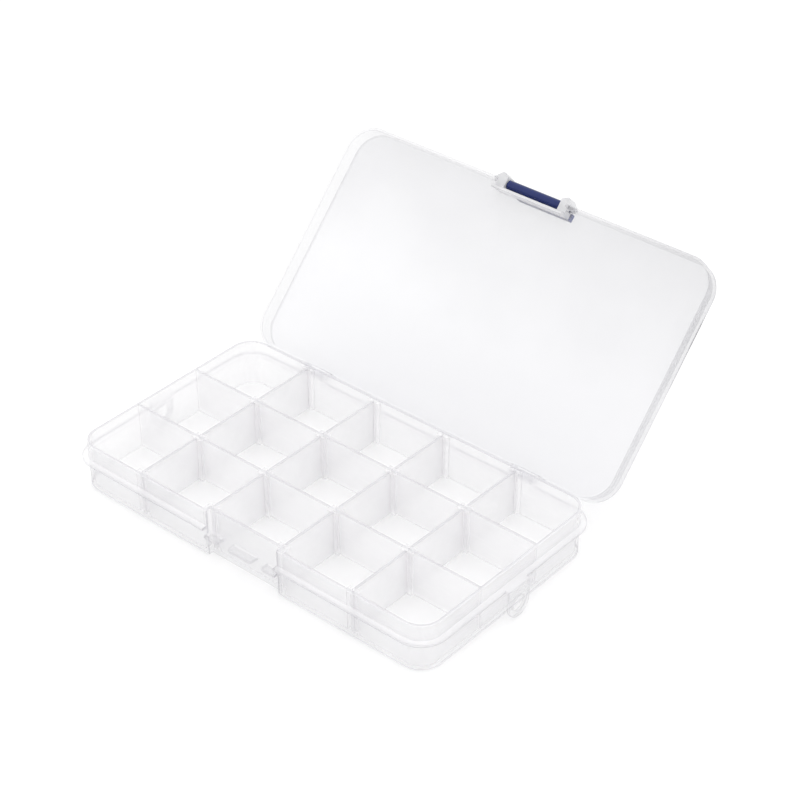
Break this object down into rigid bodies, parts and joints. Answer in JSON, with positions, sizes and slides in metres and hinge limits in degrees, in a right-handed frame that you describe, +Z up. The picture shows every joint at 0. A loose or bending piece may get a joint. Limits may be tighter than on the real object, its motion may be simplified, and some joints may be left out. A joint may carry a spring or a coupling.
{
  "type": "compartment storage box",
  "caption": "Shallow translucent plastic storage box with lift-out cross dividers in rows, a snap-hinged lid standing open, a swinging blue latch and hanging ears.",
  "frame": {"origin": "centre of the tray's underside, without its flange, ears and hinges", "axes": "+Z up out of the compartments, +X along the tray's length, -Y towards the latch side, +Y towards the hinges"},
  "size_m": [0.1786, 0.1782, 0.0887],
  "materials": {
    "tray_plastic": "frosted translucent polypropylene, satin",
    "divider_plastic": "frosted translucent polypropylene, satin",
    "lid_plastic": "clear polypropylene, smooth",
    "latch_plastic": "navy blue plastic, satin"
  },
  "bodies": {
    "tray": {"tray": "tray_plastic"},
    "divider_front_1": {"divider_front_1": "divider_plastic"},
    "divider_front_2": {"divider_front_2": "divider_plastic"},
    "divider_front_3": {"divider_front_3": "divider_plastic"},
    "divider_front_4": {"divider_front_4": "divider_plastic"},
    "divider_middle_1": {"divider_middle_1": "divider_plastic"},
    "divider_middle_2": {"divider_middle_2": "divider_plastic"},
    "divider_middle_3": {"divider_middle_3": "divider_plastic"},
    "divider_middle_4": {"divider_middle_4": "divider_plastic"},
    "divider_back_1": {"divider_back_1": "divider_plastic"},
    "divider_back_2": {"divider_back_2": "divider_plastic"},
    "divider_back_3": {"divider_back_3": "divider_plastic"},
    "divider_back_4": {"divider_back_4": "divider_plastic"},
    "lid": {"lid": "lid_plastic"},
    "latch": {"latch": "latch_plastic"}
  },
  "joints": [
    {"name": "lid_hinge", "type": "hinge", "parent": "tray", "child": "lid", "pos_m": [0, 0.0499, 0.0152], "axis": [-1, 0, 0], "range_deg": [-133.4, 0]},
    {"name": "latch_hinge", "type": "hinge", "parent": "lid", "child": "latch", "pos_m": [0, 0.12006, 0.08415], "axis": [-1, 0, 0], "range_deg": [-184.5, 0]},
    {"name": "divider_front_1_lift", "type": "slide", "parent": "tray", "child": "divider_front_1", "axis": [0, 0, 1], "range_m": [0, 0.025]},
    {"name": "divider_front_2_lift", "type": "slide", "parent": "tray", "child": "divider_front_2", "axis": [0, 0, 1], "range_m": [0, 0.025]},
    {"name": "divider_front_3_lift", "type": "slide", "parent": "tray", "child": "divider_front_3", "axis": [0, 0, 1], "range_m": [0, 0.025]},
    {"name": "divider_front_4_lift", "type": "slide", "parent": "tray", "child": "divider_front_4", "axis": [0, 0, 1], "range_m": [0, 0.025]},
    {"name": "divider_middle_1_lift", "type": "slide", "parent": "tray", "child": "divider_middle_1", "axis": [0, 0, 1], "range_m": [0, 0.025]},
    {"name": "divider_middle_2_lift", "type": "slide", "parent": "tray", "child": "divider_middle_2", "axis": [0, 0, 1], "range_m": [0, 0.025]},
    {"name": "divider_middle_3_lift", "type": "slide", "parent": "tray", "child": "divider_middle_3", "axis": [0, 0, 1], "range_m": [0, 0.025]},
    {"name": "divider_middle_4_lift", "type": "slide", "parent": "tray", "child": "divider_middle_4", "axis": [0, 0, 1], "range_m": [0, 0.025]},
    {"name": "divider_back_1_lift", "type": "slide", "parent": "tray", "child": "divider_back_1", "axis": [0, 0, 1], "range_m": [0, 0.025]},
    {"name": "divider_back_2_lift", "type": "slide", "parent": "tray", "child": "divider_back_2", "axis": [0, 0, 1], "range_m": [0, 0.025]},
    {"name": "divider_back_3_lift", "type": "slide", "parent": "tray", "child": "divider_back_3", "axis": [0, 0, 1], "range_m": [0, 0.025]},
    {"name": "divider_back_4_lift", "type": "slide", "parent": "tray", "child": "divider_back_4", "axis": [0, 0, 1], "range_m": [0, 0.025]}
  ]
}
